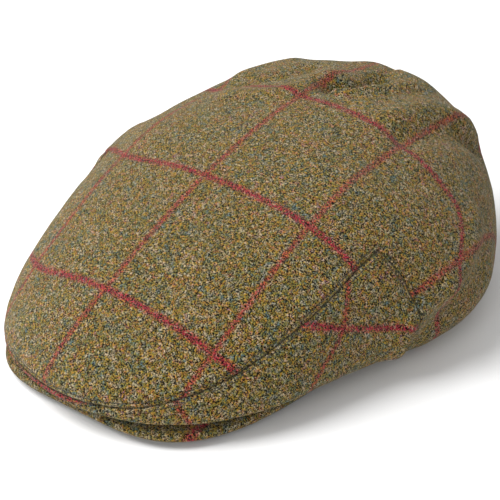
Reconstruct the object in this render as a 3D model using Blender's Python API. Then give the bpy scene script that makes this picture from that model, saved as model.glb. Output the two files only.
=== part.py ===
"""A tweed flat cap, lying by itself on a level surface.

It has three pieces: a top panel that runs down to the hem behind, a side band that goes
round the front in one length, and a short stiff peak under the front fold.
Metres, +Z up. The peak points towards -Y and the wearer's left is +X. The hem rests at Z = 0.
"""

import bpy
import numpy as np

# The crown from above, measured from the middle of the head opening
FRONT_REACH = 0.164
BACK_REACH = 0.117
HALF_WIDTH = 0.118
# The crown's middle line over the middle of the head, how far its sides fall from it,
# and how much higher the top lies at the wearer's left than in the middle
CROWN_HEIGHT = 0.094
CAMBER = 0.018
LEAN = 0.0035
# The head opening, an oval, and the hem round it
HEAD_FRONT = 0.097
HEAD_BACK = 0.098
HEAD_HALF_WIDTH = 0.083
HEM_WIDTH = 0.007
HEM_LIFT = 0.021
HEM_REST_DEGREES = 84.0
# The cloth and its seams
CLOTH = 0.0020
SEAM_GAP = 0.0003
SEAM_DEPTH = 0.0007
# The peak: its lip lies this far inside FRONT_REACH and is turned by PEAK_TURN degrees
# towards the wearer's left
PEAK_THICKNESS = 0.0042
PEAK_INSET = 0.0038
PEAK_TURN = 3.0
PEAK_HALF_WIDTH = 0.084
PEAK_SQUARENESS = 3.5
PEAK_END_DEGREES = 66.0
SEAT_GAP = 0.0009

# Middle line of the crown: place along the reach, height as a share of CROWN_HEIGHT
SPINE = (
    (-1.00, 0.36),
    (-0.55, 0.68),
    (0.00, 1.00),
    (0.50, 1.12),
    (1.00, 1.45),
)

# Stations round the crown, 0 at the front and +90 at the wearer's left: degrees; fullness
# of the rim against a plain oval; height of the rim and of the corner under it as shares
# of CROWN_HEIGHT; exponent of the edge, larger for a squarer edge
STATION_COLUMNS = ("degrees", "fullness", "rim", "corner", "edge")
STATION_STEP = 30.0
STATIONS = (
    (-150, 0.99, 0.46, 0.04, 2.8),
    (-120, 1.00, 0.35, 0.04, 3.3),
    (-90, 0.99, 0.40, 0.06, 3.0),
    (-60, 0.92, 0.25, 0.06, 5.6),
    (-30, 0.99, 0.11, 0.080, 5.8),
    (0, 1.005, 0.14, 0.085, 8.3),
    (30, 1.02, 0.14, 0.085, 6.4),
    (60, 0.93, 0.24, 0.05, 5.6),
    (90, 1.00, 0.32, 0.06, 3.0),
    (120, 0.98, 0.30, 0.04, 3.3),
    (150, 1.00, 0.44, 0.04, 2.8),
    (180, 1.00, 0.46, 0.04, 2.2),
)

# The rear seams: rise from the hem to the point, degrees round from the front
REAR_SEAM = ((0.00, 72.0), (0.20, 72.5), (0.43, 74.5), (0.614, 68.5))
# The front seam: share of the way from its lowest place round to the rear seam, rise.
# Its lowest place lies a little to the wearer's right, by this share.
FRONT_SEAM = (
    (0.00, 0.380), (0.12, 0.381), (0.22, 0.391), (0.315, 0.415),
    (0.437, 0.474), (0.59, 0.530), (0.80, 0.567), (1.00, 0.614),
)
SEAM_SKEW = 0.12

# Folds pressed into the cloth. Each runs through three places, given as degrees and rise.
# The last two columns are its width and its height, as shares of CROWN_HEIGHT.
FOLDS = (
    # the long ridge behind the middle of the top, and the hollow behind it
    (-104, 0.876, -150, 0.932, -172, 0.825, 0.070, 0.030),
    (-120, 0.820, -139, 0.848, -155, 0.800, 0.075, -0.042),
    # the deep pocket beside the ridge
    (175, 0.890, 166, 0.845, 170, 0.755, 0.070, -0.070),
    # the ridge and the dent above the wearer's left ear
    (128, 0.815, 138, 0.745, 143.5, 0.602, 0.085, 0.036),
    (115, 0.785, 128, 0.700, 136, 0.560, 0.090, -0.038),
    # the roll that hangs over the hem behind the left rear seam, and the fold under it
    (106, 0.555, 96, 0.500, 85, 0.450, 0.070, 0.034),
    (85, 0.450, 74, 0.400, 70, 0.280, 0.070, 0.034),
    (100, 0.390, 86, 0.350, 76, 0.265, 0.085, -0.045),
    # creases over the wearer's right that give the top its corners
    (-70, 0.560, -79, 0.575, -87, 0.605, 0.110, 0.014),
    (-94, 0.650, -102, 0.710, -113, 0.780, 0.100, -0.034),
    (-125, 0.755, -135, 0.715, -145, 0.690, 0.090, 0.028),
    (160, 0.680, 172, 0.664, -175, 0.655, 0.110, 0.030),
)
FOLD_STEPS = 20

# Rise at which the hem's flat ends, and at which the lower wall meets the rim
HEM_RISE = 0.04
RIM_RISE = 0.36
# Below 1 the rows of the top crowd towards the rim
TOP_SPACING = 0.8

FRONT_COLUMNS = 44
REAR_COLUMNS = 52
LOWER_ROWS = 10
UPPER_ROWS = 17
PEAK_COLUMNS = 32
PEAK_ROWS = 5
LIP_STEPS = 4
NUDGE = 1e-3
WELD_DIGITS = 7

TWEED = ("tweed", (0.19, 0.135, 0.068), 0.95)
PEAK_TWEED = ("peak_tweed", (0.17, 0.12, 0.06), 0.95)


def around(column, degrees):
    """One column of STATIONS as a smooth closed curve round the crown."""
    values = np.array(STATIONS)[:, STATION_COLUMNS.index(column)]
    place = (degrees - STATIONS[0][0]) / STATION_STEP
    first = np.floor(place).astype(int)
    part = place - first
    a, b, c, d = (values[(first + step) % len(values)] for step in (-1, 0, 1, 2))
    bend = 2 * a - 5 * b + 4 * c - d + part * (3 * (b - c) + d - a)
    return b + 0.5 * part * (c - a + part * bend)


def through(rows, place):
    """The smooth curve through a short table of places and values."""
    places, values = zip(*rows)
    return np.polyval(np.polyfit(places, values, len(rows) - 1), place)


def oval(degrees, front, back, half_width, squareness=2.0):
    """Distance from the middle to an oval with its own front and back half lengths."""
    turn = np.radians(degrees)
    along = np.where(np.cos(turn) > 0, front, back)
    across = (np.abs(np.sin(turn)) / half_width) ** squareness
    return (across + (np.abs(np.cos(turn)) / along) ** squareness) ** (-1 / squareness)


def rim_radius(degrees):
    return around("fullness", degrees) * oval(degrees, FRONT_REACH, BACK_REACH, HALF_WIDTH)


def hem_radius(degrees):
    return oval(degrees, HEAD_FRONT, HEAD_BACK, HEAD_HALF_WIDTH)


def hem_height(degrees):
    """The hem lies flat at the sides and the back and lifts over the peak."""
    rest = np.cos(np.radians(HEM_REST_DEGREES))
    lift = np.clip((np.cos(np.radians(degrees)) - rest) / (1 - rest), 0, 1)
    return HEM_LIFT * lift**2 * (3 - 2 * lift)


def middle_height(across, along):
    """Height of the top before its edge is rounded: middle line, camber and lean."""
    rows = [(share * (FRONT_REACH if share < 0 else BACK_REACH), high) for share, high in SPINE]
    side = across / HALF_WIDTH
    return through(rows, along) * CROWN_HEIGHT - CAMBER * side**2 + LEAN * side


def degrees_at(turn, rise):
    """Turn 0 is the front, 1 and -1 the rear seams, 2 and -2 the back."""
    seam = through(REAR_SEAM, np.minimum(rise, REAR_SEAM[-1][0]))
    behind = np.sign(turn) * (seam + (180 - seam) * (np.abs(turn) - 1))
    return np.where(np.abs(turn) <= 1, turn * seam, behind)


def front_seam(turn):
    """Rise of the front seam, level where it lies lowest."""
    share, rise = np.array(FRONT_SEAM).T
    slope = np.gradient(rise, share)
    slope[0] = 0
    place = np.abs(turn + SEAM_SKEW * (1 - turn**2))
    first = np.clip(np.searchsorted(share, place) - 1, 0, len(share) - 2)
    span = share[first + 1] - share[first]
    part = (place - share[first]) / span
    ends = rise[first] + (rise[first + 1] - rise[first]) * part**2 * (3 - 2 * part)
    lean = slope[first] * (1 - part) - slope[first + 1] * part
    return ends + lean * span * part * (1 - part)


def placed(degrees, radius, height):
    turn = np.radians(degrees)
    return np.stack([radius * np.sin(turn), -radius * np.cos(turn), height], -1)


def lower_wall(degrees, rise):
    """Out along the hem's flat, then in one curve out and up to the rim."""
    low, high = hem_height(degrees), around("rim", degrees) * CROWN_HEIGHT
    corner = around("corner", degrees) * CROWN_HEIGHT
    start = hem_radius(degrees) + HEM_WIDTH * np.clip(rise / HEM_RISE, 0, 1)
    part = np.clip((rise - HEM_RISE) / (RIM_RISE - HEM_RISE), 0, 1)
    near, far = (1 - part) ** 2, part**2
    radius = near * start + (1 - near) * rim_radius(degrees)
    return placed(degrees, radius, near * low + (1 - near - far) * corner + far * high)


def top(degrees, rise):
    """From the rim in to the middle, with the rim rounded over by its exponent."""
    share = np.cos((rise - RIM_RISE) / (1 - RIM_RISE) * np.pi / 2) ** TOP_SPACING
    flat = placed(degrees, share * rim_radius(degrees), 0 * share)
    rim = around("rim", degrees) * CROWN_HEIGHT
    round_off = np.sqrt(np.clip(1 - share ** around("edge", degrees), 0, 1))
    flat[..., 2] = rim + (middle_height(flat[..., 0], flat[..., 1]) - rim) * round_off
    return flat


def crown(degrees, rise):
    """The crown's outer face without folds: rise 0 at the hem and 1 at the middle."""
    rise = np.clip(rise, 0, 1)
    below = (rise < RIM_RISE)[..., None]
    return np.where(below, lower_wall(degrees, rise), top(degrees, np.maximum(rise, RIM_RISE)))


def outwards(degrees, rise):
    """Unit vectors square to the crown's outer face."""
    rise = np.clip(rise, NUDGE, 1 - 3 * NUDGE)
    round_it = crown(degrees + 1, rise) - crown(degrees - 1, rise)
    up_it = crown(degrees, rise + NUDGE) - crown(degrees, rise - NUDGE)
    square = np.cross(round_it, up_it)
    return square / np.linalg.norm(square, axis=-1, keepdims=True)


def fold_height(points):
    """How far the folds stand out of, or sink into, the crown at each point."""
    total = np.zeros(points.shape[:-1])
    part = np.linspace(0, 1, FOLD_STEPS)
    for row in FOLDS:
        ends = crown(np.array(row[0:6:2], float), np.array(row[1:6:2]))
        way = ((1 - part) * (1 - 2 * part), 4 * part * (1 - part), part * (2 * part - 1))
        path = sum(weight[:, None] * end for weight, end in zip(way, ends))
        far = np.linalg.norm(points[..., None, :] - path, axis=-1).min(-1)
        width, height = row[6] * CROWN_HEIGHT, row[7] * CROWN_HEIGHT
        total += height * np.exp(-((far / width) ** 2))
    return total


def grid_faces(columns, rows, first=0):
    """Quads of a grid whose points are numbered along each row."""
    near = first + np.arange(rows)[:, None] * (columns + 1) + np.arange(columns)
    return np.stack([near, near + 1, near + columns + 2, near + columns + 1], -1).reshape(-1, 4)


def welded(points, faces):
    """Merge points that coincide and drop the repeats from each face."""
    kept, index = np.unique(np.round(points, WELD_DIGITS), axis=0, return_inverse=True)
    rings = [list(dict.fromkeys(index.reshape(-1)[face].tolist())) for face in faces]
    return kept, [ring for ring in rings if len(ring) > 2]


def edges_of(faces):
    """The directed edges along the border, as a mapping from each point to the next."""
    pairs = {(ring[i - 1], ring[i]) for ring in faces for i in range(len(ring))}
    return {a: b for a, b in pairs if (b, a) not in pairs}


def mesh_object(name, points, faces, finish):
    colour_name, colour, roughness = finish
    mesh = bpy.data.meshes.new(name)
    mesh.from_pydata([tuple(point) for point in points], [], faces)
    mesh.shade_smooth()
    material = bpy.data.materials.new(colour_name)
    material.use_nodes = True
    shader = material.node_tree.nodes["Principled BSDF"]
    shader.inputs["Base Color"].default_value = (*colour, 1.0)
    shader.inputs["Roughness"].default_value = roughness
    mesh.materials.append(material)
    piece = bpy.data.objects.new(name, mesh)
    bpy.context.scene.collection.objects.link(piece)
    return piece


def cloth_panel(name, blocks):
    """A closed panel of cloth from blocks of turn and rise that meet along their edges."""
    places, faces, count = [], [], 0
    for turn, rise in blocks:
        rows, columns = turn.shape
        faces.extend(grid_faces(columns - 1, rows - 1, count))
        degrees = degrees_at(turn, rise)
        base = crown(degrees, rise)
        normal = outwards(degrees, rise)
        normal[rise > 1 - NUDGE] = (0, 0, 1)
        places.append(np.concatenate([base, normal, rise[..., None]], -1).reshape(-1, 7))
        count += rows * columns
    places = np.concatenate(places)
    _, picked = np.unique(np.round(places[:, :3], WELD_DIGITS), axis=0, return_index=True)
    points, faces = welded(places[:, :3], faces)
    normal, rise = places[picked, 3:6], places[picked, 6]
    outer = points + normal * fold_height(points)[:, None]

    border = edges_of(faces)
    before = {b: a for a, b in border.items()}
    sunk = np.zeros(len(points))
    pulled = np.zeros_like(points)
    for a, b in border.items():
        along = points[b] - points[before[a]]
        into = np.cross(normal[a], along)
        on_hem = rise[a] < NUDGE
        if not on_hem:
            sunk[a] = SEAM_DEPTH
        if not (on_hem and rise[b] < NUDGE and rise[before[a]] < NUDGE):
            pulled[a] = into / np.linalg.norm(into) * SEAM_GAP / 2
    outer, inner = outer + pulled, outer + pulled - normal * CLOTH
    outer -= normal * sunk[:, None]

    size = len(points)
    inside = [[size + point for point in reversed(ring)] for ring in faces]
    rims = [[b, a, size + a, size + b] for a, b in border.items()]
    return mesh_object(name, np.concatenate([outer, inner]), faces + inside + rims, TWEED)


def lower_block(turn, seam):
    """Rows out along the hem's flat and then up to the seam."""
    step = np.linspace(0, 1, LOWER_ROWS)[:, None]
    rise = np.concatenate([0 * seam[None], HEM_RISE + (seam - HEM_RISE) * step])
    return np.broadcast_to(turn, rise.shape), rise


def side_band():
    turn = np.linspace(-1, 1, FRONT_COLUMNS + 1)
    return cloth_panel("side_band", [lower_block(turn, front_seam(turn))])


def top_panel():
    """The top all round, and behind the rear seams also the lower wall."""
    point = FRONT_SEAM[-1][1]
    front = np.linspace(-1, 1, FRONT_COLUMNS + 1)
    back = np.linspace(1, 3, REAR_COLUMNS + 1)
    turn = np.concatenate([front, back[1:]])
    seam = np.concatenate([front_seam(front), np.full(REAR_COLUMNS, point)])
    step = np.linspace(0, 1, UPPER_ROWS + 1)[:, None]
    rise = seam + (1 - seam) * step
    upper = (np.broadcast_to(turn, rise.shape), rise)
    blocks = [upper, lower_block(back, np.full(len(back), point))]
    return cloth_panel("top_panel", [(np.where(turn > 2, turn - 4, turn), rise) for turn, rise in blocks])


def peak():
    """A crescent from the hem's inner edge to the lip, seated under the side band."""
    degrees = np.linspace(-PEAK_END_DEGREES, PEAK_END_DEGREES, PEAK_COLUMNS + 1)
    inner, low = hem_radius(degrees), hem_height(degrees) - SEAT_GAP
    reach = FRONT_REACH - PEAK_INSET
    outer = oval(degrees - PEAK_TURN, reach, BACK_REACH, PEAK_HALF_WIDTH, PEAK_SQUARENESS)
    start = inner + HEM_WIDTH
    slope = (around("corner", degrees) * CROWN_HEIGHT - SEAT_GAP - low) / (rim_radius(degrees) - start)
    half = PEAK_THICKNESS / 2
    section = [(share, 0.0, -half) for share in np.linspace(0, 1, PEAK_ROWS + 1)]
    for turn in np.linspace(-np.pi / 2, np.pi / 2, LIP_STEPS + 1)[1:-1]:
        section.append((1.0, half * np.cos(turn), half * np.sin(turn)))
    section += [(share, 0.0, half) for share in np.linspace(1, 0, PEAK_ROWS + 1)]
    rows = []
    for share, beyond, rise in section:
        radius = inner + (outer - half - inner) * share + beyond
        height = low + slope * np.maximum(radius - start, 0) - half + rise
        rows.append(placed(degrees, radius, height))
    count = len(rows)
    faces = [list(face) for face in grid_faces(PEAK_COLUMNS, count - 1)]
    wide = PEAK_COLUMNS + 1
    last = (count - 1) * wide
    faces += [[last + i, last + i + 1, i + 1, i] for i in range(PEAK_COLUMNS)]
    faces.append([row * wide for row in range(count)])
    faces.append([row * wide + PEAK_COLUMNS for row in reversed(range(count))])
    return mesh_object("peak", np.concatenate(rows), faces, PEAK_TWEED)


def centre(pieces):
    """Put the middle of the whole cap's box over the origin, seen from above."""
    corners = np.array([vertex.co for piece in pieces for vertex in piece.data.vertices])
    middle = (corners.min(0) + corners.max(0)) / 2
    for piece in pieces:
        for vertex in piece.data.vertices:
            vertex.co.x -= middle[0]
            vertex.co.y -= middle[1]


def main():
    for old in list(bpy.data.objects):
        bpy.data.objects.remove(old)
    centre([top_panel(), side_band(), peak()])


main()
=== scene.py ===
"""Looks of the tweed flat cap: fine cloth panels, seams, stitches, weave, light and camera.

Metres, +Z up. The peak points towards -Y and the wearer's left is +X. The hem rests at Z = 0.
Degrees go round the cap, 0 at the front and +90 at the wearer's left. Rise goes up the crown's
outer face, 0 at the hem and 1 at the middle of the top. Turn goes round it from seam to seam:
0 is the front, 1 and -1 are the rear seams, 2 and -2 the back. Across and along are places on
the flat cloth, across towards the wearer's left and along towards the back.
"""

import bpy
import numpy as np
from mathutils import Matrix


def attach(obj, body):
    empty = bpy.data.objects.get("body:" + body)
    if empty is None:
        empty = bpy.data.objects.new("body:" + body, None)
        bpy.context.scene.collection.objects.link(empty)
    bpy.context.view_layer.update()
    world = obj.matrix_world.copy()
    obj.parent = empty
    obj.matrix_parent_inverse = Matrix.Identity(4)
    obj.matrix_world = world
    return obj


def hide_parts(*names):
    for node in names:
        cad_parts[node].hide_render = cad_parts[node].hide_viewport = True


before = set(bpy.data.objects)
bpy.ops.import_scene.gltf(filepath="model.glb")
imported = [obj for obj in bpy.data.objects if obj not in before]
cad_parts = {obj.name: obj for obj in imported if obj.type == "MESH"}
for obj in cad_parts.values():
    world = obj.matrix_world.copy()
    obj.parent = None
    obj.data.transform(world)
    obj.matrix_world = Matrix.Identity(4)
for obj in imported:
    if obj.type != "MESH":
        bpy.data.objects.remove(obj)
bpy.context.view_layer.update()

# The sizes down to WELD_DIGITS are those of the part's source, apart from CREASES.
# The crown from above, measured from the middle of the head opening
FRONT_REACH = 0.164
BACK_REACH = 0.117
HALF_WIDTH = 0.118
# The crown's middle line over the middle of the head, how far its sides fall from it,
# and how much higher the top lies at the wearer's left than in the middle
CROWN_HEIGHT = 0.094
CAMBER = 0.018
LEAN = 0.0035
# The head opening, an oval, and the hem round it
HEAD_FRONT = 0.097
HEAD_BACK = 0.098
HEAD_HALF_WIDTH = 0.083
HEM_WIDTH = 0.007
HEM_LIFT = 0.021
HEM_REST_DEGREES = 84.0
# The cloth and its seams
CLOTH = 0.0020
SEAM_GAP = 0.0003
# The peak: its lip lies this far inside FRONT_REACH and is turned by PEAK_TURN degrees
PEAK_THICKNESS = 0.0042
PEAK_INSET = 0.0038
PEAK_TURN = 3.0
PEAK_HALF_WIDTH = 0.084
PEAK_SQUARENESS = 3.5
PEAK_END_DEGREES = 66.0
SEAT_GAP = 0.0009
# Middle line of the crown: place along the reach, height as a share of CROWN_HEIGHT
SPINE = ((-1.00, 0.36), (-0.55, 0.68), (0.00, 1.00), (0.50, 1.12), (1.00, 1.45))
# Stations round the crown: degrees; fullness of the rim against a plain oval; height of the rim
# and of the corner under it as shares of CROWN_HEIGHT; exponent of the edge, larger for a
# squarer edge
STATION_COLUMNS = ("degrees", "fullness", "rim", "corner", "edge")
STATION_STEP = 30.0
STATIONS = (
    (-150, 0.99, 0.46, 0.04, 2.8),
    (-120, 1.00, 0.35, 0.04, 3.3),
    (-90, 0.99, 0.40, 0.06, 3.0),
    (-60, 0.92, 0.25, 0.06, 5.6),
    (-30, 0.99, 0.11, 0.080, 5.8),
    (0, 1.005, 0.14, 0.085, 8.3),
    (30, 1.02, 0.14, 0.085, 6.4),
    (60, 0.93, 0.24, 0.05, 5.6),
    (90, 1.00, 0.32, 0.06, 3.0),
    (120, 0.98, 0.30, 0.04, 3.3),
    (150, 1.00, 0.44, 0.04, 2.8),
    (180, 1.00, 0.46, 0.04, 2.2),
)
# The rear seams: rise from the hem to the point, degrees round from the front
REAR_SEAM = ((0.00, 72.0), (0.20, 72.5), (0.43, 74.5), (0.614, 68.5))
# The front seam: share of the way from its lowest place round to the rear seam, rise.
# Its lowest place lies a little to the wearer's right, by SEAM_SKEW.
FRONT_SEAM = (
    (0.00, 0.380), (0.12, 0.381), (0.22, 0.391), (0.315, 0.415),
    (0.437, 0.474), (0.59, 0.530), (0.80, 0.567), (1.00, 0.614),
)
SEAM_SKEW = 0.12
# Folds pressed into the cloth, each through three places in degrees and rise. The last two
# columns are width and height, as shares of CROWN_HEIGHT.
FOLDS = (
    (-104, 0.876, -150, 0.932, -172, 0.825, 0.070, 0.030),
    (-120, 0.820, -139, 0.848, -155, 0.800, 0.075, -0.042),
    (175, 0.890, 166, 0.845, 170, 0.755, 0.070, -0.070),
    (128, 0.815, 138, 0.745, 143.5, 0.602, 0.085, 0.036),
    (115, 0.785, 128, 0.700, 136, 0.560, 0.090, -0.038),
    (106, 0.555, 96, 0.500, 85, 0.450, 0.070, 0.034),
    (85, 0.450, 74, 0.400, 70, 0.280, 0.070, 0.034),
    (100, 0.390, 86, 0.350, 76, 0.265, 0.085, -0.045),
    (-70, 0.560, -79, 0.575, -87, 0.605, 0.110, 0.014),
    (-94, 0.650, -102, 0.710, -113, 0.780, 0.100, -0.034),
    (-125, 0.755, -135, 0.715, -145, 0.690, 0.090, 0.028),
    (160, 0.680, 172, 0.664, -175, 0.655, 0.110, 0.030),
)
# Creases too fine for the solids, in the same way but with width and height in metres
CREASES = (
    (165, 0.905, 153, 0.850, 154.5, 0.733, 0.0028, 0.0042),
    (168, 0.820, 171, 0.750, 177.5, 0.655, 0.0026, -0.0034),
    (-150, 0.900, -165, 0.870, -178, 0.840, 0.0045, 0.0010),
    (171, 0.872, 166.5, 0.838, 170, 0.780, 0.0042, -0.0066),
    (136, 0.649, 136, 0.590, 141, 0.502, 0.0026, -0.0028),
    (139, 0.660, 140, 0.610, 145, 0.520, 0.0040, 0.0020),
    (80, 0.440, 76, 0.452, 73, 0.470, 0.0045, -0.0016),
    (112, 0.490, 100, 0.450, 88, 0.405, 0.0050, -0.0016),
)
FOLD_STEPS = 20
# Rise at which the hem's flat ends, and at which the lower wall meets the rim
HEM_RISE = 0.04
RIM_RISE = 0.36
# Below 1 the rows of the top crowd towards the rim
TOP_SPACING = 0.8
# A small step in rise, to find slopes and ends
NUDGE = 1e-3
WELD_DIGITS = 7

# Steps of the fine meshes
FRONT_COLUMNS = 200
REAR_COLUMNS = 150
UPPER_ROWS = 92
LOWER_ROWS = 42
HEM_ROWS = 4
RIM_LOOPS = 4
PEAK_COLUMNS = 120
PEAK_ROWS = 24
LIP_STEPS = 12
# Columns and upper rows crowd towards the seams by this power, lower rows towards the hem
CROWDING = 1.7
# Samples of each seam's path, and of the box round the crown
SEAM_SAMPLES = 900
REAR_SEAM_SAMPLES = 260
BOX_COLUMNS = 721
BOX_ROWS = 200

# Slow waves in the cloth: length and height of each, the way they lean, and their shift
WAVES = ((0.046, 0.00035), (0.027, 0.00022), (0.013, 0.00010))
WAVE_LEAN = (1.0, 0.61, -0.43)
WAVE_SHIFT = 1.7
# Each seam: a valley, a puff on each side of it, and a groove under each row of stitches
VALLEY_DEPTH = 0.0008
VALLEY_WIDTH = 0.0007
PUFF_HEIGHT = 0.0003
PUFF_OFFSET = 0.0042
PUFF_WIDTH = 0.0022
STITCH_OFFSET = 0.0021
STITCH_DIP = 0.00040
STITCH_DIP_WIDTH = 0.0005
HEM_BULGE = 0.0008
# The stitches, and where their rows start and stop: in metres along the row, and in turn along
# the front seam or rise along the rear ones
STITCH_PITCH = 0.0029
STITCH_LENGTH = 0.0019
STITCH_RADIUS = 0.00027
STITCH_SIDES = 6
STITCH_RINGS = 7
ROW_START = 0.001
FRONT_ROW_END = 0.985
FRONT_ROW_SAMPLES = 1200
REAR_ROW_START = 0.05
REAR_ROW_STOP = 0.012
REAR_ROW_SAMPLES = 500
# A stitch lies this share of STITCH_DIP deep. The section of its thread falls by THREAD_TAPER
# towards its ends, to THREAD_LEAST at least. It sinks there by THREAD_SINK radii less
# THREAD_STAND, and stands up by THREAD_STAND radii in the middle.
STITCH_BED = 0.6
THREAD_TAPER = 0.75
THREAD_LEAST = 0.05
THREAD_SINK = 1.1
THREAD_STAND = 0.15

CHECK_ACROSS = 0.0645
CHECK_ALONG = 0.0775
CHECK_START_ACROSS = -0.004
CHECK_START_ALONG = 0.023
# Between these degrees the wall's cloth turns until it hangs straight down from the back
WALL_TURN = (100.0, 145.0)
# The wall's cloth goes on past the rim by this rise
WALL_MARGIN = 0.12
# Steps down the crown in which the cloth's length is measured
CLIMB_STEPS = 60
# The line left of the middle, at SPREAD_PLACE, bears outwards: by SPREAD_BACK behind, and by
# SPREAD_FRONT more at SPREAD_REACH in front
SPREAD_PLACE = 0.063
SPREAD_REACH = 0.130
SPREAD_BACK = 0.0018
SPREAD_FRONT = 0.0062
# How far the check slips along the cloth on the steep sides: from, to, by how much
LEFT_SLIP = (0.100, 0.150, 0.043)
RIGHT_SLIP = (0.050, 0.130, -0.026)

BAND_CHECK_ACROSS = 0.0705
BAND_CHECK_ALONG = 0.070
BAND_CHECK_START = -0.008
# At degrees from the front: the way round the band, and the lean of its upright lines
BAND_ARC = (
    (0, 0.0), (12, 0.034), (24, 0.066), (36, 0.100),
    (50, 0.138), (62, 0.166), (75, 0.192), (90, 0.22),
)
BAND_LEAN = ((0, 0.0), (22, 0.9), (36, 0.0), (50, -1.0), (60, -0.95), (75, -0.6), (90, -0.4))
# At degrees from the front: how far its level lines lie under their plain place
BAND_LIFT_LEFT = (
    (0, 0.0003), (6.5, -0.003), (12, -0.008), (24, -0.020), (36, -0.045),
    (45, -0.035), (60, -0.0235), (73, -0.017), (90, -0.010),
)
BAND_LIFT_RIGHT = ((0, 0.0003), (11, 0.0028), (30, 0.0055), (45, -0.0005), (60, 0.01), (90, 0.05))
# The lean counts from the first height, and above the knee only this share of the rise counts
BAND_LEAN_FROM = 0.022
BAND_KNEE = 0.038
BAND_ABOVE_KNEE = 0.4
# The plain height of a level line, and the cloth's length per metre of height
BAND_LEVEL = 0.0135
BAND_LENGTH = 1.1

# The peak's cloth is turned: one line crosses it from front to back, at PEAK_CHECK_START, and
# the lines the other way miss it
PEAK_CHECK_START = 0.0665
PEAK_CHECK_APART = 0.30
PEAK_CHECK_ACROSS = 0.05
PEAK_SHADE = 0.92

# Wool colours, linear, from the coldest to the warmest
WOOL = (
    (0.30, (0.064, 0.108, 0.125)),
    (0.40, (0.078, 0.092, 0.034)),
    (0.47, (0.144, 0.112, 0.018)),
    (0.55, (0.216, 0.131, 0.013)),
    (0.63, (0.240, 0.092, 0.024)),
    (0.73, (0.165, 0.095, 0.135)),
)
BEIGE_WOOL = (0.282, 0.238, 0.172)
ORANGE_RED = (0.300, 0.046, 0.020)
CRIMSON = (0.235, 0.008, 0.028)
# Sizes in the wool, as noise per metre, and how far its fibres wander, in metres
FIBRE_SCALE = 1500.0
STRAY_SCALE = 900.0
EDGE_SCALE = 700.0
HANK_SCALE = 420.0
DRIFT_SCALE = 90.0
WANDER = 0.0012
# How much the colour drifts from place to place, and how much of the wool is beige
DRIFT = 0.30
BEIGE_RANGE = (0.47, 0.62)
BEIGE_MOST = 0.70
# Lines of the check at set places along and across the cloth: half width, share of
# orange-red, strength
LINES_ALONG = (0.0031, 0.15, 0.96)
LINES_ACROSS = (0.0027, 0.80, 0.80)
LINE_CORE = 0.0005
LINE_RAGGED = 0.0045
STRAY_RANGE = (0.36, 0.52)
STRAY_SHARE = 0.75
DYE_RANGE = (0.40, 0.60)
# Lightness of single fibres
FIBRE_RANGE = (0.40, 0.60)
FIBRE_CONTRAST = 1.70
FIBRE_DARKEST = 0.02
# The twill's ribs
TWILL_PITCH = 0.0021
TWILL_DEPTH = 0.06
# Shadow in the seams and along the rows of stitches: how far it reaches, and how light it stays.
# Stray fibres bridge it by FIBRE_BRIDGE.
SEAM_SHADOW = (0.0002, 0.0012)
SEAM_LIGHT = 0.32
ROW_SHADOW = (0.0002, 0.0008)
ROW_LIGHT = 0.55
FIBRE_BRIDGE = 0.0005
# Relief of the wool: its height in metres, and the shares of fibres and twill in it
RELIEF = 0.0005
RELIEF_FIBRES = 0.5
RELIEF_TWILL = 0.16

# The camera of the photograph, in degrees, metres and the photograph's pixels
CAMERA_AZIMUTH = 39.81
CAMERA_ELEVATION = 27.26
CAMERA_DISTANCE = 0.708
CAMERA_TARGET = (0.0, 0.0, 0.0525)
TARGET_PIXEL = (278.9, 188.5)
PIXELS_PER_METRE = 1891.0
FRAME_PIXELS = 500
SENSOR = 36.0
# Lights: place, size and watts. Both point at LIT_PLACE.
KEY_LIGHT = ((-1.0, -0.8, 1.8), 1.8, 62.0)
FILL_LIGHT = ((0.5, -1.5, 0.6), 1.0, 7.0)
LIT_PLACE = (0, 0, 0.03)
SKY_STRENGTH = 0.58
FLOOR_COLOUR = (0.88, 0.88, 0.88)
FLOOR_SIZE = 8.0
FLOOR_DROP = 0.0002


def around(column, degrees):
    """One column of STATIONS as a smooth closed curve round the crown."""
    values = np.array(STATIONS)[:, STATION_COLUMNS.index(column)]
    place = (degrees - STATIONS[0][0]) / STATION_STEP
    first = np.floor(place).astype(int)
    part = place - first
    a, b, c, d = (values[(first + step) % len(values)] for step in (-1, 0, 1, 2))
    bend = 2 * a - 5 * b + 4 * c - d + part * (3 * (b - c) + d - a)
    return b + 0.5 * part * (c - a + part * bend)


def through(rows, place):
    """The smooth curve through a short table of places and values."""
    places, values = zip(*rows)
    return np.polyval(np.polyfit(places, values, len(rows) - 1), place)


def oval(degrees, front, back, half_width, squareness=2.0):
    """Distance from the middle to an oval with its own front and back half lengths."""
    angle = np.radians(degrees)
    length = np.where(np.cos(angle) > 0, front, back)
    sideways = (np.abs(np.sin(angle)) / half_width) ** squareness
    return (sideways + (np.abs(np.cos(angle)) / length) ** squareness) ** (-1 / squareness)


def rim_radius(degrees):
    """Distance from the middle to the rim, the widest line of the crown."""
    return around("fullness", degrees) * oval(degrees, FRONT_REACH, BACK_REACH, HALF_WIDTH)


def hem_radius(degrees):
    """Distance from the middle to the head opening."""
    return oval(degrees, HEAD_FRONT, HEAD_BACK, HEAD_HALF_WIDTH)


def hem_height(degrees):
    """The hem lies flat at the sides and the back and lifts over the peak."""
    rest = np.cos(np.radians(HEM_REST_DEGREES))
    lift = np.clip((np.cos(np.radians(degrees)) - rest) / (1 - rest), 0, 1)
    return HEM_LIFT * lift**2 * (3 - 2 * lift)


def middle_height(x, y):
    """Height of the top before its edge is rounded: middle line, camber and lean."""
    rows = [(share * (FRONT_REACH if share < 0 else BACK_REACH), high) for share, high in SPINE]
    side = x / HALF_WIDTH
    return through(rows, y) * CROWN_HEIGHT - CAMBER * side**2 + LEAN * side


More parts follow.
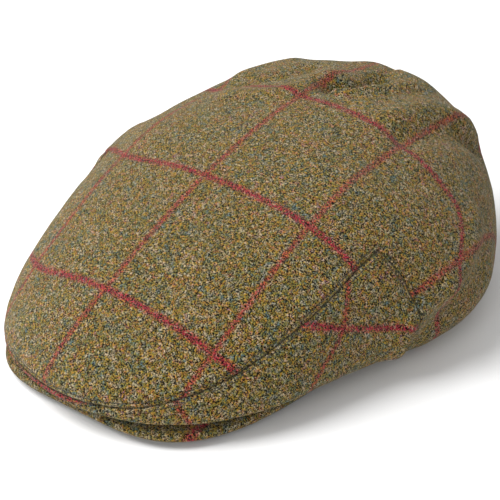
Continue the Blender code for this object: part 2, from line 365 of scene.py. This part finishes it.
def degrees_at(turn, rise):
    """Degrees round the cap at a turn, which follows the slant of the rear seams."""
    seam = through(REAR_SEAM, np.minimum(rise, REAR_SEAM[-1][0]))
    behind = np.sign(turn) * (seam + (180 - seam) * (np.abs(turn) - 1))
    return np.where(np.abs(turn) <= 1, turn * seam, behind)


def front_seam(turn):
    """Rise of the front seam, level where it lies lowest."""
    share, rise = np.array(FRONT_SEAM).T
    slope = np.gradient(rise, share)
    slope[0] = 0
    place = np.abs(turn + SEAM_SKEW * (1 - turn**2))
    first = np.clip(np.searchsorted(share, place) - 1, 0, len(share) - 2)
    span = share[first + 1] - share[first]
    part = (place - share[first]) / span
    ends = rise[first] + (rise[first + 1] - rise[first]) * part**2 * (3 - 2 * part)
    lean = slope[first] * (1 - part) - slope[first + 1] * part
    return ends + lean * span * part * (1 - part)


def placed(degrees, radius, height):
    """Points at these degrees, distances from the middle and heights."""
    angle = np.radians(degrees)
    return np.stack([radius * np.sin(angle), -radius * np.cos(angle), height], -1)


def lower_wall(degrees, rise):
    """Out along the hem's flat, then in one curve out and up to the rim."""
    low, high = hem_height(degrees), around("rim", degrees) * CROWN_HEIGHT
    corner = around("corner", degrees) * CROWN_HEIGHT
    start = hem_radius(degrees) + HEM_WIDTH * np.clip(rise / HEM_RISE, 0, 1)
    part = np.clip((rise - HEM_RISE) / (RIM_RISE - HEM_RISE), 0, 1)
    near, far = (1 - part) ** 2, part**2
    radius = near * start + (1 - near) * rim_radius(degrees)
    return placed(degrees, radius, near * low + (1 - near - far) * corner + far * high)


def top(degrees, rise):
    """From the rim in to the middle, with the rim rounded over by its exponent."""
    share = np.cos((rise - RIM_RISE) / (1 - RIM_RISE) * np.pi / 2) ** TOP_SPACING
    flat = placed(degrees, share * rim_radius(degrees), 0 * share)
    rim = around("rim", degrees) * CROWN_HEIGHT
    round_off = np.sqrt(np.clip(1 - share ** around("edge", degrees), 0, 1))
    flat[..., 2] = rim + (middle_height(flat[..., 0], flat[..., 1]) - rim) * round_off
    return flat


def crown(degrees, rise):
    """The crown's outer face without folds: rise 0 at the hem and 1 at the middle."""
    rise = np.clip(rise, 0, 1)
    below = (rise < RIM_RISE)[..., None]
    return np.where(below, lower_wall(degrees, rise), top(degrees, np.maximum(rise, RIM_RISE)))


def outwards(degrees, rise):
    """Unit vectors square to the crown's outer face."""
    rise = np.clip(rise, NUDGE, 1 - 3 * NUDGE)
    round_it = crown(degrees + 1, rise) - crown(degrees - 1, rise)
    up_it = crown(degrees, rise + NUDGE) - crown(degrees, rise - NUDGE)
    square = np.cross(round_it, up_it)
    return square / np.linalg.norm(square, axis=-1, keepdims=True)


def nearest(points, path, block=20000):
    """Distance from each point to the nearest point of a path."""
    far = np.empty(len(points))
    for start in range(0, len(points), block):
        some = points[start:start + block]
        gap = (some**2).sum(1)[:, None] + (path**2).sum(1) - 2 * some @ path.T
        far[start:start + block] = np.sqrt(np.maximum(gap.min(1), 0))
    return far


def fold_height(points):
    """How far the folds and creases stand out of the crown at each point."""
    total = np.zeros(len(points))
    part = np.linspace(0, 1, FOLD_STEPS)
    scaled = [row[:6] + (row[6] * CROWN_HEIGHT, row[7] * CROWN_HEIGHT) for row in FOLDS]
    for row in scaled + list(CREASES):
        ends = crown(np.array(row[0:6:2], float), np.array(row[1:6:2]))
        way = ((1 - part) * (1 - 2 * part), 4 * part * (1 - part), part * (2 * part - 1))
        path = sum(weight[:, None] * end for weight, end in zip(way, ends))
        far = nearest(points, path)
        total += row[7] * np.exp(-((far / row[6]) ** 2))
    return total


def unevenness(points):
    """Slow waves of a few tenths of a millimetre, as steamed wool has."""
    total = np.zeros(len(points))
    for step, (length, size) in enumerate(WAVES):
        for axis in range(3):
            lean = np.roll(WAVE_LEAN, axis + step)
            wave = points @ (lean / np.linalg.norm(lean)) / length
            total += size * np.sin(2 * np.pi * wave + WAVE_SHIFT * axis + step) / 3
    return total


def grid_faces(columns, rows, first=0):
    """Four-sided faces of a grid of points that starts at the point `first`."""
    near = first + np.arange(rows)[:, None] * (columns + 1) + np.arange(columns)
    return np.stack([near, near + 1, near + columns + 2, near + columns + 1], -1).reshape(-1, 4)


def welded(points, faces):
    """The points without doubles, and the faces that keep three corners or more."""
    kept, index = np.unique(np.round(points, WELD_DIGITS), axis=0, return_inverse=True)
    rings = [list(dict.fromkeys(index.reshape(-1)[face].tolist())) for face in faces]
    return kept, [ring for ring in rings if len(ring) > 2]


def edges_of(faces):
    """The open edges of a surface, as the next point after each."""
    pairs = {(ring[i - 1], ring[i]) for ring in faces for i in range(len(ring))}
    return {a: b for a, b in pairs if (b, a) not in pairs}


def cloth_place(degrees, rise):
    """Where a point of the top panel lies on the flat cloth, by its way from the middle."""
    share = np.linspace(0, 1, CLIMB_STEPS + 1)[:, None, None]
    climb = 1 - (1 - rise) * share
    path = crown(np.broadcast_to(degrees, climb.shape), climb)
    lengths = np.linalg.norm(np.diff(path, axis=0), axis=-1)
    out = lengths.sum(0)
    on_wall = np.where(climb[1:] < RIM_RISE + WALL_MARGIN, lengths, 0).sum(0)
    start, end = WALL_TURN
    size = np.abs(degrees)
    part = np.clip((size - start) / (end - start), 0, 1)
    turned = size + (180 - size) * part**2 * (3 - 2 * part)
    way, wall_way = np.radians(degrees), np.radians(np.sign(degrees) * turned)
    across = (out - on_wall) * np.sin(way) + on_wall * np.sin(wall_way)
    along = -(out - on_wall) * np.cos(way) - on_wall * np.cos(wall_way)
    forward = np.clip(-along / SPREAD_REACH, 0, 1)
    spread = SPREAD_BACK + SPREAD_FRONT * forward**2 * (3 - 2 * forward)
    across = across - spread * np.clip(1 - np.abs(across / SPREAD_PLACE - 1), 0, 1)
    near, far, most = (np.where(across > 0, *pair) for pair in zip(LEFT_SLIP, RIGHT_SLIP))
    slip = np.clip((np.abs(across) - near) / (far - near), 0, 1)
    return across, along + most * slip**2 * (3 - 2 * slip)


def band_place(degrees, points):
    """Where a point of the side band lies on the flat cloth."""
    high = points[..., 2]
    tables = (BAND_ARC, BAND_LEAN, BAND_LIFT_LEFT, BAND_LIFT_RIGHT)
    arc, lean, left, right = (np.interp(np.abs(degrees), *np.array(rows).T) for rows in tables)
    bent = np.minimum(high, BAND_KNEE) + BAND_ABOVE_KNEE * np.maximum(high - BAND_KNEE, 0)
    across = arc + lean * (bent - BAND_LEAN_FROM)
    lift = np.where(degrees < 0, right, left)
    return np.where(degrees < 0, -across, across), (high - BAND_LEVEL) * BAND_LENGTH + lift


def mesh_object(name, points, faces, material, values=None):
    """A smooth object with a value of each kind at each point."""
    mesh = bpy.data.meshes.new(name)
    mesh.from_pydata(points.tolist(), [], faces)
    mesh.shade_smooth()
    for key, data in (values or {}).items():
        layer = mesh.attributes.new(key, "FLOAT", "POINT")
        layer.data.foreach_set("value", np.asarray(data, np.float32))
    mesh.materials.append(material)
    piece = bpy.data.objects.new(name, mesh)
    bpy.context.scene.collection.objects.link(piece)
    return piece


def seam_paths():
    """Close points along the front seam and the two rear seams on the plain crown."""
    turn = np.linspace(-1, 1, SEAM_SAMPLES)
    rise = front_seam(turn)
    paths = [crown(degrees_at(turn, rise), rise)]
    rise = np.linspace(0, FRONT_SEAM[-1][1], REAR_SEAM_SAMPLES)
    for side in (-1.0, 1.0):
        paths.append(crown(degrees_at(np.full(REAR_SEAM_SAMPLES, side), rise), rise))
    return np.concatenate(paths)


def sampled(blocks, is_band):
    """Points, faces, normals, rise and place on the cloth of the blocks, joined to one surface."""
    places, faces, count = [], [], 0
    for turn, rise in blocks:
        rows, columns = turn.shape
        faces.extend(grid_faces(columns - 1, rows - 1, count))
        degrees = degrees_at(turn, rise)
        base = crown(degrees, rise)
        normal = outwards(degrees, rise)
        normal[rise > 1 - NUDGE] = (0, 0, 1)
        across, along = band_place(degrees, base) if is_band else cloth_place(degrees, rise)
        fields = np.stack([rise, across, along], -1)
        places.append(np.concatenate([base, normal, fields], -1).reshape(rows * columns, -1))
        count += rows * columns
    places = np.concatenate(places)
    _, picked = np.unique(np.round(places[:, :3], WELD_DIGITS), axis=0, return_index=True)
    points, faces = welded(places[:, :3], faces)
    rise, across, along = places[picked, 6:].T
    return points, faces, places[picked, 3:6], rise, across, along


def cloth_panel(name, blocks, material, is_band, shift):
    """A closed panel of cloth from blocks of turn and rise that meet along their edges."""
    points, faces, normal, rise, across, along = sampled(blocks, is_band)
    seam = nearest(points, seam_paths())
    lift = fold_height(points) + unevenness(points)
    valley = VALLEY_DEPTH * np.exp(-((seam / VALLEY_WIDTH) ** 2))
    puff = PUFF_HEIGHT * np.exp(-(((seam - PUFF_OFFSET) / PUFF_WIDTH) ** 2))
    dip = STITCH_DIP * np.exp(-(((seam - STITCH_OFFSET) / STITCH_DIP_WIDTH) ** 2))
    outer = points + normal * (lift + puff - valley - dip)[:, None]
    inner = points + normal * (lift - CLOTH)[:, None]

    # the panel's edges lie half a gap inside the seams, and its hem bulges
    border = edges_of(faces)
    before = {b: a for a, b in border.items()}
    out_way = np.zeros_like(points)
    for a, b in border.items():
        into = np.cross(normal[a], points[b] - points[before[a]])
        on_hem = rise[a] < NUDGE
        into /= np.linalg.norm(into)
        if not (on_hem and rise[b] < NUDGE and rise[before[a]] < NUDGE):
            outer[a] += into * SEAM_GAP / 2
            inner[a] += into * SEAM_GAP / 2
        if on_hem:
            out_way[a] = -into

    # loops of points between the outer and the inner face close the panel
    size = len(points)
    keys = list(border)
    order = {key: i for i, key in enumerate(keys)}
    rings = [outer, inner]
    loops = []
    for step in range(1, RIM_LOOPS):
        part = step / RIM_LOOPS
        bulge = HEM_BULGE * np.sin(np.pi * part)
        rings.append(outer[keys] * (1 - part) + inner[keys] * part + out_way[keys] * bulge)
        loops.append(2 * size + (step - 1) * len(keys))

    def ladder(point):
        return [point] + [loop + order[point] for loop in loops] + [size + point]

    inside = [[size + point for point in reversed(ring)] for ring in faces]
    rims = []
    for a, b in border.items():
        left, right = ladder(a), ladder(b)
        for i in range(RIM_LOOPS):
            rims.append([right[i], left[i], left[i + 1], right[i + 1]])

    # the inner face lies a metre from any seam, so that it gets no seam shadow
    repeat = RIM_LOOPS - 1
    values = {
        "across": np.concatenate([across, across] + [across[keys]] * repeat),
        "along": np.concatenate([along, along] + [along[keys]] * repeat),
        "seam": np.concatenate([seam, np.ones(size)] + [seam[keys]] * repeat),
    }
    whole = np.concatenate(rings) + shift
    whole[:, 2] = np.maximum(whole[:, 2], 0)
    return mesh_object(name, whole, faces + inside + rims, material, values)


def crowded(count):
    """Steps from 0 to 1 that lie closer together near 0."""
    return np.linspace(0, 1, count) ** CROWDING


def lower_block(turn, seam):
    """Rows out along the hem's flat and then up to the seam."""
    hem = HEM_RISE * np.linspace(0, 1, HEM_ROWS + 1)[:-1, None]
    wall = HEM_RISE + (seam - HEM_RISE) * crowded(LOWER_ROWS)[:, None]
    rise = np.concatenate([hem + 0 * seam, wall])
    return np.broadcast_to(turn, rise.shape), rise


def both_ends(count, first, last):
    """Steps from first to last that lie closer together near both ends."""
    half = crowded(count // 2 + 1) / 2
    return first + (last - first) * np.concatenate([half, 1 - half[::-1][1:]])


def side_band(material, shift):
    """The band from the hem up to the front seam, round to both rear seams."""
    turn = both_ends(FRONT_COLUMNS, -1, 1)
    blocks = [lower_block(turn, front_seam(turn))]
    return cloth_panel("side_band_cloth", blocks, material, True, shift)


def top_panel(material, shift):
    """The top from the front seam back, and down behind to the hem."""
    point = FRONT_SEAM[-1][1]
    front = both_ends(FRONT_COLUMNS, -1, 1)
    back = both_ends(REAR_COLUMNS, 1, 3)
    turn = np.concatenate([front, back[1:]])
    seam = np.concatenate([front_seam(front), np.full(len(back) - 1, point)])
    rise = seam + (1 - seam) * crowded(UPPER_ROWS)[:, None]
    upper = (np.broadcast_to(turn, rise.shape), rise)
    blocks = [upper, lower_block(back, np.full(len(back), point))]
    blocks = [(np.where(turn > 2, turn - 4, turn), rise) for turn, rise in blocks]
    return cloth_panel("top_panel_cloth", blocks, material, False, shift)


def peak(material, shift):
    """The crescent with a rounded lip, drawn tight over its board."""
    degrees = np.linspace(-PEAK_END_DEGREES, PEAK_END_DEGREES, PEAK_COLUMNS + 1)
    inner, low = hem_radius(degrees), hem_height(degrees) - SEAT_GAP
    reach = FRONT_REACH - PEAK_INSET
    outer = oval(degrees - PEAK_TURN, reach, BACK_REACH, PEAK_HALF_WIDTH, PEAK_SQUARENESS)
    start = inner + HEM_WIDTH
    fall = around("corner", degrees) * CROWN_HEIGHT - SEAT_GAP - low
    slope = fall / (rim_radius(degrees) - start)
    half = PEAK_THICKNESS / 2
    section = [(share, 0.0, -half) for share in np.linspace(0, 1, PEAK_ROWS + 1)]
    for angle in np.linspace(-np.pi / 2, np.pi / 2, LIP_STEPS + 1)[1:-1]:
        section.append((1.0, half * np.cos(angle), half * np.sin(angle)))
    section += [(share, 0.0, half) for share in np.linspace(1, 0, PEAK_ROWS + 1)]
    rows = []
    for share, beyond, above in section:
        radius = inner + (outer - half - inner) * share + beyond
        height = low + slope * np.maximum(radius - start, 0) - half + above
        rows.append(placed(degrees, radius, height))
    count = len(rows)
    faces = [list(face) for face in grid_faces(PEAK_COLUMNS, count - 1)]
    wide = PEAK_COLUMNS + 1
    last = (count - 1) * wide
    faces += [[last + i, last + i + 1, i + 1, i] for i in range(PEAK_COLUMNS)]
    faces.append([row * wide for row in range(count)])
    faces.append([row * wide + PEAK_COLUMNS for row in reversed(range(count))])
    points = np.concatenate(rows)
    values = {"across": points[:, 1], "along": points[:, 0], "seam": np.full(len(points), 1.0)}
    return mesh_object("peak_cloth", points + shift, faces, material, values)


def stitch_rows():
    """Degrees and rise along each row of stitches: one on each side of each seam."""
    found = []
    for offset in (-STITCH_OFFSET, STITCH_OFFSET):
        turn = np.linspace(-FRONT_ROW_END, FRONT_ROW_END, FRONT_ROW_SAMPLES)
        rise = front_seam(turn)
        for _ in range(2):
            degrees = degrees_at(turn, rise)
            up_it = crown(degrees, rise + NUDGE) - crown(degrees, rise - NUDGE)
            slope = np.linalg.norm(up_it, axis=1) / NUDGE / 2
            rise = front_seam(turn) + offset / slope
        found.append((degrees_at(turn, rise), rise))
        rise = np.linspace(REAR_ROW_START, FRONT_SEAM[-1][1] - REAR_ROW_STOP, REAR_ROW_SAMPLES)
        for side in (-1.0, 1.0):
            degrees = degrees_at(np.full(REAR_ROW_SAMPLES, side), rise)
            round_it = crown(degrees + 0.5, rise) - crown(degrees - 0.5, rise)
            per_degree = np.linalg.norm(round_it, axis=1)
            found.append((degrees + side * offset / per_degree, rise))
    return found


def stitches(material, shift):
    """Every stitch as a short rounded thread that dips into the cloth at its ends."""
    points, faces = [], []
    sides, rings = STITCH_SIDES, STITCH_RINGS
    angle = np.linspace(0, 2 * np.pi, sides, endpoint=False)
    share = np.linspace(-1, 1, rings)
    thick = STITCH_RADIUS * np.sqrt(np.maximum(1 - THREAD_TAPER * share**4, THREAD_LEAST))
    sink = STITCH_RADIUS * (THREAD_SINK * share**4 - THREAD_STAND)
    for degrees, rise in stitch_rows():
        base = crown(degrees, rise)
        normal = outwards(degrees, rise)
        lift = fold_height(base) + unevenness(base) - STITCH_DIP * STITCH_BED
        base = base + normal * lift[:, None]
        travel = np.concatenate([[0], np.cumsum(np.linalg.norm(np.diff(base, axis=0), axis=1))])
        for start in np.arange(ROW_START, travel[-1] - STITCH_PITCH, STITCH_PITCH):
            spots = start + np.linspace(0, STITCH_LENGTH, rings)
            middle = np.stack([np.interp(spots, travel, base[:, i]) for i in range(3)], 1)
            up = np.stack([np.interp(spots, travel, normal[:, i]) for i in range(3)], 1)
            along = np.gradient(middle, axis=0)
            along /= np.linalg.norm(along, axis=1, keepdims=True)
            side = np.cross(along, up)
            first = len(points)
            for i in range(rings):
                ring = np.cos(angle)[:, None] * side[i] + np.sin(angle)[:, None] * up[i]
                points.extend(middle[i] - up[i] * sink[i] + ring * thick[i])
            for i in range(rings - 1):
                ring = first + i * sides
                for j in range(sides):
                    a, b = ring + j, ring + (j + 1) % sides
                    faces.append([a, b, b + sides, a + sides])
            faces.append([first + j for j in reversed(range(sides))])
            faces.append([first + (rings - 1) * sides + j for j in range(sides)])
    return mesh_object("seam_stitches", np.array(points) + shift, faces, material)


class Nodes:
    """Short calls for building a material's node tree."""

    def __init__(self, name):
        self.material = bpy.data.materials.new(name)
        self.material.use_nodes = True
        self.tree = self.material.node_tree
        self.shader = self.tree.nodes["Principled BSDF"]

    def link(self, source, target):
        self.tree.links.new(source, target)

    def put(self, socket, value):
        if isinstance(value, bpy.types.NodeSocket):
            self.link(value, socket)
        else:
            socket.default_value = value

    def node(self, kind, **settings):
        made = self.tree.nodes.new(kind)
        for key, value in settings.items():
            setattr(made, key, value)
        return made

    def math(self, operation, a, b=0.0, c=0.0):
        made = self.node("ShaderNodeMath", operation=operation)
        for socket, value in zip(made.inputs, (a, b, c)):
            self.put(socket, value)
        return made.outputs[0]

    def attribute(self, name):
        made = self.node("ShaderNodeAttribute", attribute_name=name)
        return made.outputs["Fac"]

    def smooth(self, value, low, high):
        made = self.node("ShaderNodeMapRange", interpolation_type="SMOOTHSTEP")
        self.put(made.inputs["Value"], value)
        made.inputs["From Min"].default_value = low
        made.inputs["From Max"].default_value = high
        return made.outputs["Result"]

    def mix(self, share, a, b, blend="MIX"):
        made = self.node("ShaderNodeMix", data_type="RGBA", blend_type=blend)
        self.put(made.inputs["Factor"], share)
        self.put(made.inputs[6], a)
        self.put(made.inputs[7], b)
        return made.outputs[2]

    def scaled(self, colour, factor):
        grey = self.node("ShaderNodeCombineColor")
        for socket in grey.inputs:
            self.put(socket, factor)
        return self.mix(1.0, colour, grey.outputs[0], "MULTIPLY")

    def noise(self, vector, scale, detail=2.0, roughness=0.5):
        made = self.node("ShaderNodeTexNoise")
        self.link(vector, made.inputs["Vector"])
        made.inputs["Scale"].default_value = scale
        made.inputs["Detail"].default_value = detail
        made.inputs["Roughness"].default_value = roughness
        return made

    def ramp(self, value, stops):
        made = self.node("ShaderNodeValToRGB")
        elements = made.color_ramp.elements
        while len(elements) < len(stops):
            elements.new(0.5)
        for element, (place, colour) in zip(elements, stops):
            element.position = place
            element.color = (*colour, 1.0)
        self.link(value, made.inputs["Fac"])
        return made.outputs["Color"]


def tweed(name, pitch_across, pitch_along, start_across, start_along, shade=1.0):
    """Heathered wool with a fuzzy overcheck, in real sizes."""
    n = Nodes(name)
    place = n.node("ShaderNodeTexCoord").outputs["Object"]
    across, along = n.attribute("across"), n.attribute("along")

    # fibres wander, so nothing has a hard edge
    wander = n.noise(place, FIBRE_SCALE, 2.0).outputs["Color"]
    centred = n.node("ShaderNodeVectorMath", operation="SUBTRACT")
    n.link(wander, centred.inputs[0])
    centred.inputs[1].default_value = (0.5, 0.5, 0.5)
    moved = n.node("ShaderNodeVectorMath", operation="MULTIPLY_ADD")
    n.link(centred.outputs[0], moved.inputs[0])
    moved.inputs[1].default_value = (WANDER, WANDER, WANDER)
    n.link(place, moved.inputs[2])
    fuzzy = moved.outputs[0]

    # hanks of dyed wool a few millimetres long, and beige ones among them
    hank = n.node("ShaderNodeSeparateColor")
    n.link(n.noise(fuzzy, HANK_SCALE, 3.0, 0.75).outputs["Color"], hank.inputs[0])
    drift = n.noise(place, DRIFT_SCALE, 2.0, 0.6).outputs["Fac"]
    warmth = n.math("MULTIPLY_ADD", n.math("SUBTRACT", drift, 0.5), DRIFT, hank.outputs[0])
    colour = n.ramp(warmth, WOOL)
    beige = n.math("MULTIPLY", n.smooth(hank.outputs[1], *BEIGE_RANGE), BEIGE_MOST)
    colour = n.mix(beige, colour, (*BEIGE_WOOL, 1.0))

    # the overcheck, dyed yarns among the plain ones
    rough = n.noise(place, EDGE_SCALE, 2.0, 0.7).outputs["Fac"]
    strays = n.smooth(n.noise(fuzzy, STRAY_SCALE, 1.0, 0.5).outputs["Fac"], *STRAY_RANGE)
    dyed = n.smooth(hank.outputs[2], *DYE_RANGE)
    for value, start, pitch, (width, reddest, strength) in (
        (along, start_along, pitch_along, LINES_ALONG),
        (across, start_across, pitch_across, LINES_ACROSS),
    ):
        turns = n.math("MULTIPLY_ADD", value, 1 / pitch, 0.5 - start / pitch)
        away = n.math("ABSOLUTE", n.math("SUBTRACT", n.math("FRACT", turns), 0.5))
        distance = n.math("MULTIPLY", away, pitch)
        ragged = n.math("MULTIPLY_ADD", n.math("SUBTRACT", rough, 0.5), LINE_RAGGED, distance)
        inside = n.math("SUBTRACT", 1.0, n.smooth(ragged, LINE_CORE, width))
        covered = n.math("MULTIPLY_ADD", strays, STRAY_SHARE, 1 - STRAY_SHARE)
        share = n.math("MULTIPLY", inside, covered)
        dye = n.mix(n.math("MULTIPLY", dyed, reddest), (*CRIMSON, 1.0), (*ORANGE_RED, 1.0))
        colour = n.mix(n.math("MULTIPLY", share, strength), colour, dye)

    # single fibres, from nearly black to bright
    grain = n.noise(fuzzy, FIBRE_SCALE, 1.0, 0.5).outputs["Fac"]
    lightness = n.smooth(grain, *FIBRE_RANGE)
    colour = n.scaled(colour, n.math("MULTIPLY_ADD", lightness, FIBRE_CONTRAST, FIBRE_DARKEST))

    # twill: fine slanting ribs
    diagonal = n.math("ADD", across, along)
    twill = n.math("SINE", n.math("MULTIPLY", diagonal, 2 * np.pi / TWILL_PITCH))
    colour = n.scaled(colour, n.math("MULTIPLY_ADD", twill, TWILL_DEPTH, shade))

    # the seams and the rows of stitches gather shadow
    seam = n.attribute("seam")
    off_row = n.math("ABSOLUTE", n.math("SUBTRACT", seam, STITCH_OFFSET))
    bridged = n.math("MULTIPLY", strays, FIBRE_BRIDGE)
    for gap, reach, least in (
        (seam, SEAM_SHADOW, SEAM_LIGHT),
        (off_row, ROW_SHADOW, ROW_LIGHT),
    ):
        lit = n.smooth(n.math("ADD", gap, bridged), *reach)
        colour = n.scaled(colour, n.math("MULTIPLY_ADD", lit, 1 - least, least))
    n.link(colour, n.shader.inputs["Base Color"])

    n.shader.inputs["Roughness"].default_value = 0.95
    n.shader.inputs["Specular IOR Level"].default_value = 0.15
    n.shader.inputs["Sheen Weight"].default_value = 0.25
    n.shader.inputs["Sheen Roughness"].default_value = 0.30
    n.shader.inputs["Sheen Tint"].default_value = (0.90, 0.84, 0.70, 1.0)

    fibre = n.noise(fuzzy, FIBRE_SCALE, 3.0, 0.7).outputs["Fac"]
    relief = n.math("ADD", n.math("MULTIPLY", lightness, RELIEF_FIBRES), fibre)
    relief = n.math("ADD", relief, n.math("MULTIPLY", twill, RELIEF_TWILL))
    bump = n.node("ShaderNodeBump")
    bump.inputs["Strength"].default_value = 1.0
    bump.inputs["Distance"].default_value = RELIEF
    n.link(relief, bump.inputs["Height"])
    n.link(bump.outputs["Normal"], n.shader.inputs["Normal"])
    return n.material


def thread():
    """Dark twisted sewing thread."""
    n = Nodes("thread")
    place = n.node("ShaderNodeTexCoord").outputs["Object"]
    value = n.noise(place, 2600.0, 2.0).outputs["Fac"]
    colour = n.ramp(value, ((0.35, (0.012, 0.010, 0.006)), (0.65, (0.045, 0.034, 0.018))))
    n.link(colour, n.shader.inputs["Base Color"])
    n.shader.inputs["Roughness"].default_value = 0.7
    n.shader.inputs["Sheen Weight"].default_value = 0.2
    return n.material


def plain(name, colour, roughness):
    """A matt surface of nearly one colour."""
    n = Nodes(name)
    place = n.node("ShaderNodeTexCoord").outputs["Object"]
    soft = n.noise(place, 3.0, 1.0).outputs["Fac"]
    shade = n.ramp(soft, ((0.3, colour), (0.7, tuple(value * 0.995 for value in colour))))
    n.link(shade, n.shader.inputs["Base Color"])
    n.shader.inputs["Roughness"].default_value = roughness
    n.shader.inputs["Specular IOR Level"].default_value = 0.1
    return n.material


def camera(shift):
    """The camera of the photograph, with its picture shifted as the photograph is cropped."""
    round_it, up_it = np.radians(CAMERA_AZIMUTH), np.radians(CAMERA_ELEVATION)
    level = np.cos(up_it)
    back = np.array([np.sin(round_it) * level, -np.cos(round_it) * level, np.sin(up_it)])
    target = np.array(CAMERA_TARGET) + shift
    place = target + back * CAMERA_DISTANCE
    made = bpy.data.cameras.new("camera")
    made.sensor_width = SENSOR
    made.lens = SENSOR * PIXELS_PER_METRE * CAMERA_DISTANCE / FRAME_PIXELS
    made.clip_start = 0.01
    made.shift_x = (FRAME_PIXELS / 2 - TARGET_PIXEL[0]) / FRAME_PIXELS
    made.shift_y = (TARGET_PIXEL[1] - FRAME_PIXELS / 2) / FRAME_PIXELS
    eye = bpy.data.objects.new("camera", made)
    eye.location = place
    eye.rotation_euler = (np.pi / 2 - up_it, 0.0, round_it)
    bpy.context.scene.collection.objects.link(eye)
    bpy.context.scene.camera = eye


def area_light(name, place, size, watts):
    """A white round light that points at LIT_PLACE."""
    lamp = bpy.data.lights.new(name, "AREA")
    lamp.shape = "DISK"
    lamp.size = size
    lamp.energy = watts
    made = bpy.data.objects.new(name, lamp)
    made.location = place
    way = np.array(LIT_PLACE) - np.array(place)
    flat = np.hypot(way[0], way[1])
    made.rotation_euler = (np.arctan2(flat, -way[2]), 0.0, np.arctan2(way[1], way[0]) - np.pi / 2)
    bpy.context.scene.collection.objects.link(made)


def studio():
    """A pale floor, an even sky, and two lights."""
    bpy.ops.mesh.primitive_plane_add(size=FLOOR_SIZE, location=(0, 0, -FLOOR_DROP))
    floor = bpy.context.object
    floor.name = "floor"
    floor.data.materials.append(plain("floor", FLOOR_COLOUR, 0.9))
    world = bpy.data.worlds.new("studio")
    bpy.context.scene.world = world
    world.use_nodes = True
    sky = world.node_tree.nodes["Background"]
    sky.inputs["Color"].default_value = (1.0, 1.0, 1.0, 1.0)
    sky.inputs["Strength"].default_value = SKY_STRENGTH
    area_light("key", *KEY_LIGHT)
    area_light("fill", *FILL_LIGHT)
    bpy.context.scene.view_settings.view_transform = "Standard"


def main():
    """The cap's four visible pieces, then the studio and the camera."""
    cloth = tweed("tweed", CHECK_ACROSS, CHECK_ALONG, CHECK_START_ACROSS, CHECK_START_ALONG)
    band_cloth = tweed("band_tweed", BAND_CHECK_ACROSS, BAND_CHECK_ALONG, BAND_CHECK_START, 0.0)
    peak_cloth = tweed(
        "peak_tweed", PEAK_CHECK_APART, PEAK_CHECK_APART,
        PEAK_CHECK_ACROSS, PEAK_CHECK_START, PEAK_SHADE,
    )

    # the origin lies under the middle of the box round the plain crown
    degrees, rise = np.meshgrid(np.linspace(-180, 180, BOX_COLUMNS), np.linspace(0, 1, BOX_ROWS))
    whole = crown(degrees, rise).reshape(-1, 3)
    low, high = whole.min(0), whole.max(0)
    shift = np.array([-(low[0] + high[0]) / 2, -(low[1] + high[1]) / 2, 0.0])

    panels = [
        (top_panel(cloth, shift), "top_panel", "tweed"),
        (side_band(band_cloth, shift), "side_band", "tweed"),
        (peak(peak_cloth, shift), "peak", "peak_tweed"),
    ]
    for piece, node, slot in panels:
        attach(piece, "root")
        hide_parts(node)
    sewn = stitches(thread(), shift)
    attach(sewn, "root")

    studio()
    camera(shift)


main()
